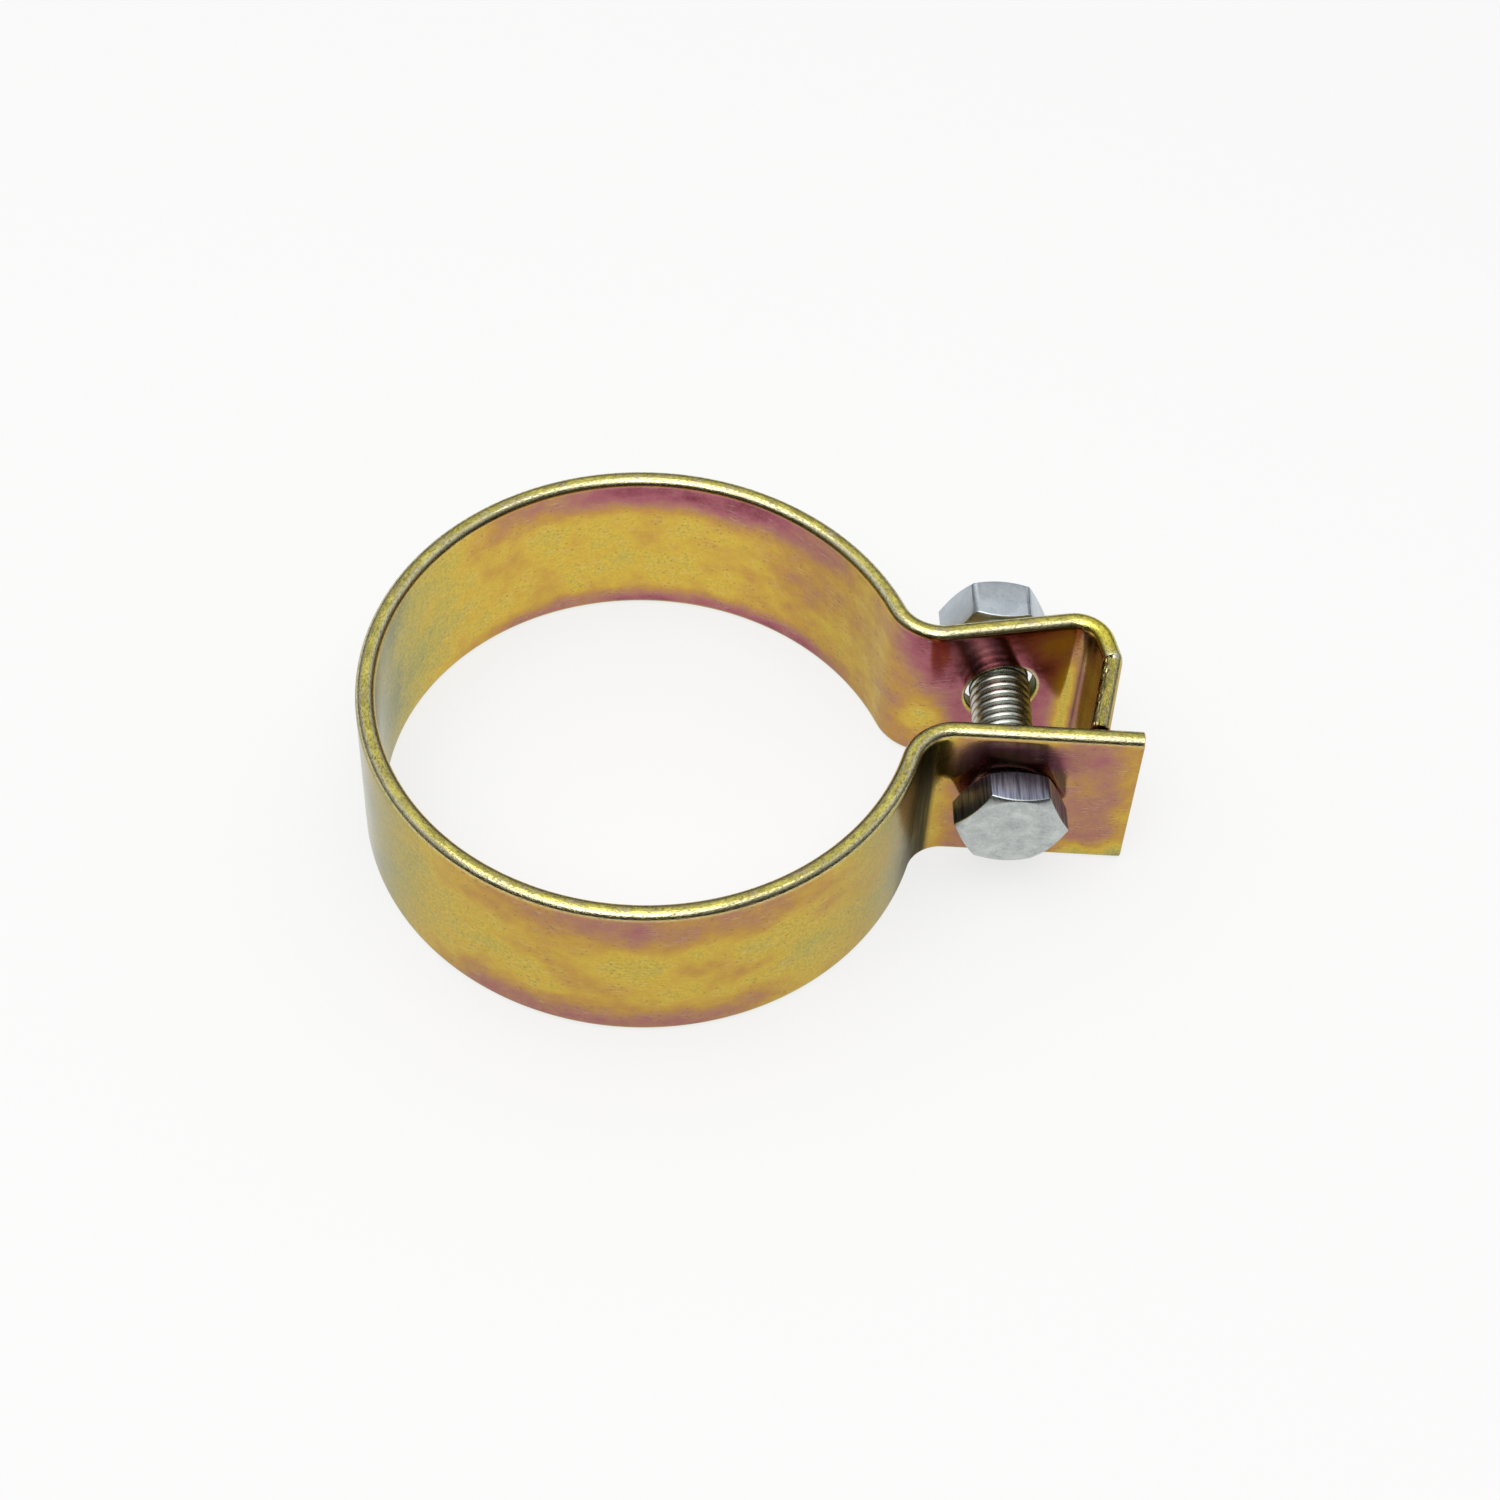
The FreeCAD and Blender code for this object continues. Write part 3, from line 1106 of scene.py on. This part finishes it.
def edge_tone(f, strip, mottle):
    """Colour of the rims: pale at the upper corners, yellow at the flange's bend, and a painted highlight at
    the crease.
    """
    corner = f.spread(f.math("ABSOLUTE", f.part(strip, "Z")), *corner_depths)
    corner = f.math("MULTIPLY", corner, f.spread(f.part(strip, "Y"), *upper_side))
    tone = f.mix(corner, f.ramp(mottle, edge_colours), corner_colour)
    tone = f.mix(f.attribute("yellow"), tone, bend_colour)
    return f.mix(f.attribute("crease"), tone, crease_highlight_colour)


def strip_specks(f, strip, chance):
    """Small dark specks, more in some places than in others."""
    size = f.spread(f.cells(f.mapped(strip, speck_scale)), *speck_size)
    return f.math("MULTIPLY", size, f.spread(chance, *speck_chance))


def rim_crumbs(f, strip, rim):
    """Crumbly pits on the rims, most of them where the edge is rough."""
    crumbs = f.noise(f.mapped(strip, crumb_scale, shift=(3, 0, 9)), detail=3, rough=0.7)
    crumbs = f.math("MULTIPLY_ADD", f.attribute("rough_edge"), crumb_rise, crumbs)
    return f.math("MULTIPLY", f.spread(crumbs, *crumb_fade), rim)


def scratched(f, strip, chance, colour):
    """A colour with fine pale scratches over it, in two directions."""
    for turn, shift in zip(scratch_turns, scratch_shifts):
        place = f.mapped(strip, scratch_scale, turn=(0, 0, turn), shift=(shift, 0, 0))
        line = f.spread(f.noise(place, detail=2, rough=0.5, warp=0.3), *scratch_fade)
        line = f.math("MULTIPLY", line, f.spread(chance, *scratch_chance))
        colour = f.mix(f.math("MULTIPLY", line, scratch_strength), colour, scratch_colour)
    return colour


def plating():
    """Glossy yellow-chromated zinc: a colour film of uneven thickness, specks, pits and fine scratches."""
    f = Finish("chromated_plating")
    strip = f.attribute("strip", vector=True)
    rim = f.attribute("rim")
    painted_shade = f.attribute("painted_shade")
    mottle = f.noise(f.mapped(strip, mottle_scale, shift=(7, 3, 0)), detail=5, rough=0.72, warp=0.2)
    grain = f.noise(f.mapped(strip, grain_scale), detail=4, rough=0.75)
    chance = f.noise(f.mapped(strip, chance_scale, shift=(0, 11, 5)), detail=2)
    specks = strip_specks(f, strip, chance)
    crumbs = rim_crumbs(f, strip, rim)
    colour = f.mix(rim, film_tone(f, strip, mottle, grain), edge_tone(f, strip, mottle))
    colour = f.mix(1.0, colour, f.spread(grain, *grain_light), "MULTIPLY")
    # greyer and darker places, partly painted shade
    colour = f.mix(f.attribute("grey_and_painted_shade"), colour, f.mix(1.0, colour, grey_and_shade_tint, "MULTIPLY"))
    colour = f.mix(f.math("MULTIPLY", specks, speck_strength), colour, speck_colour)
    colour = f.mix(f.math("MULTIPLY", crumbs, crumb_strength), colour, crumb_colour)
    colour = scratched(f, strip, chance, colour)
    # painted shade, broken into streaks
    streak = f.noise(f.mapped(strip, streak_scale, shift=(0, 4, 2)), detail=2, rough=0.6)
    streaked_painted_shade = f.math("MULTIPLY", painted_shade, f.spread(streak, *streak_light))
    colour = f.mix(streaked_painted_shade, colour, painted_shade_colour)
    f.link(colour, f.shader.inputs["Base Color"])
    f.shader.inputs["Specular Tint"].default_value = grazing_tint
    f.shader.inputs["Metallic"].default_value = 1.0
    rough = f.spread(mottle, *plating_rough)
    for cause, amount in ((rim, rim_rough), (crumbs, crumb_rough), (painted_shade, shade_rough)):
        rough = f.math("MULTIPLY_ADD", cause, amount, rough)
    f.link(rough, f.shader.inputs["Roughness"])
    height = mottle
    for cause, amount in ((grain, grain_relief), (specks, speck_relief), (crumbs, crumb_relief)):
        height = f.math("MULTIPLY_ADD", cause, amount, height)
    f.bump(height, plating_bump, plating_bump_depth)
    return f.material


def zinc(name, tones, roughness):
    """Bright zinc plate with a fine grain; a bolt's thread and the sides of its head have their own tones."""
    f = Finish(name)
    place = f.coordinates("Object")
    marks = f.noise(f.mapped(place, tool_mark_scale), detail=3, rough=0.6)
    grain = f.noise(f.mapped(place, zinc_grain_scale, shift=(2, 5, 1)), detail=3, rough=0.6)
    cloud = f.noise(f.mapped(place, cloud_scale), detail=4, rough=0.6, warp=0.4)
    tone = f.math("MULTIPLY_ADD", cloud, cloud_weight, f.math("MULTIPLY", grain, 1 - cloud_weight))
    colour = f.mix(f.spread(tone, *tone_fade), *tones)
    colour = f.mix(f.attribute("thread"), colour, thread_colour)
    colour = f.mix(f.attribute("root"), colour, root_colour)
    on_head = f.spread(f.part(place, "Y"), head_back / MM, (head_back - head_fade) / MM)
    side = f.math("MULTIPLY", f.across_bolt(), on_head)
    colour = f.mix(side, colour, f.mix(f.spread(marks, *tool_mark_fade), *head_side_tones))
    f.link(colour, f.shader.inputs["Base Color"])
    f.shader.inputs["Metallic"].default_value = 1.0
    rough = f.spread(f.math("ADD", cloud, grain), *zinc_rough_span, *roughness)
    rough = f.math("MULTIPLY_ADD", side, head_side_rough, rough)
    f.link(rough, f.shader.inputs["Roughness"])
    f.bump(grain, zinc_bump, zinc_bump_depth)
    return f.material


def dress(obj, material, body, node):
    """Gives a piece its material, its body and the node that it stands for."""
    obj.data.materials.clear()
    obj.data.materials.append(material)
    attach(obj, body)
    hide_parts(node)


def make_floor():
    """Plain pale floor under the strip's lower edge."""
    bpy.ops.mesh.primitive_plane_add(size=floor_size, location=(0, 0, band_low.z / MM))
    floor = bpy.context.object
    floor.name = "floor"
    f = Finish("pale_floor")
    f.shader.inputs["Base Color"].default_value = floor_tone
    f.shader.inputs["Roughness"].default_value = floor_rough
    f.shader.inputs["Specular IOR Level"].default_value = floor_gloss
    path = f.tree.nodes.new("ShaderNodeLightPath")
    seen = f.math("MAXIMUM", path.outputs["Is Camera Ray"], path.outputs["Is Glossy Ray"])
    seen = f.math("MAXIMUM", seen, path.outputs["Is Transmission Ray"])
    glow = f.tree.nodes.new("ShaderNodeEmission")
    mix = f.tree.nodes.new("ShaderNodeMixShader")
    f.link(f.math("MULTIPLY", seen, floor_glow), mix.inputs["Fac"])
    f.link(f.shader.outputs["BSDF"], mix.inputs[1])
    f.link(glow.outputs["Emission"], mix.inputs[2])
    f.link(mix.outputs["Shader"], f.tree.nodes["Material Output"].inputs["Surface"])
    floor.data.materials.append(f.material)


def make_world():
    """Soft sky, pale above and dark at the horizon and on the near side, so that rims have both to show."""
    world = bpy.data.worlds.new("studio")
    world.use_nodes = True
    sky = Nodes(world.node_tree)
    way = sky.coordinates("Generated")
    tone = sky.ramp(sky.part(way, "Z"), [(height, (tone, tone, tone, 1.0)) for height, tone in sky_tones])
    strength = sky.spread(sky.part(way, "Y"), sky_near, sky_far, sky_near_strength, sky_far_strength)
    background = sky.tree.nodes["Background"]
    sky.link(tone, background.inputs["Color"])
    sky.link(strength, background.inputs["Strength"])
    bpy.context.scene.world = world


def soft_box(name, place, size, radiance):
    """Square soft lamp that looks at the clamp."""
    data = bpy.data.lights.new(name, "AREA")
    data.shape = "SQUARE"
    data.size = size
    data.energy = math.pi * size ** 2 * radiance
    lamp = bpy.data.objects.new(name, data)
    lamp.location = place
    lamp.rotation_euler = (-Vector(place)).to_track_quat("-Z", "Y").to_euler()
    bpy.context.scene.collection.objects.link(lamp)


def make_camera():
    """Camera at the photograph's place and viewing angle."""
    data = bpy.data.cameras.new("camera")
    data.sensor_width = sensor_mm
    data.sensor_height = sensor_mm
    data.sensor_fit = "HORIZONTAL"
    data.lens = lens_mm
    data.clip_start = clip_start_m
    camera = bpy.data.objects.new("camera", data)
    turn = Matrix((camera_right, camera_up, camera_back)).transposed()
    camera.matrix_world = Matrix.Translation(Vector(camera_place) / MM) @ turn.to_4x4()
    bpy.context.scene.collection.objects.link(camera)
    bpy.context.scene.camera = camera


dress(make_strip(), plating(), "band", "clamp_band")
dress(make_bolt(), zinc("bolt_zinc_plate", bolt_tones, bolt_rough), "bolt", "hex_bolt")
dress(make_nut(), zinc("nut_zinc_plate", nut_tones, nut_rough), "nut", "hex_nut")
make_floor()
make_world()
for lamp in lamps:
    soft_box(*lamp)
make_camera()
bpy.context.scene.view_settings.view_transform = "Standard"
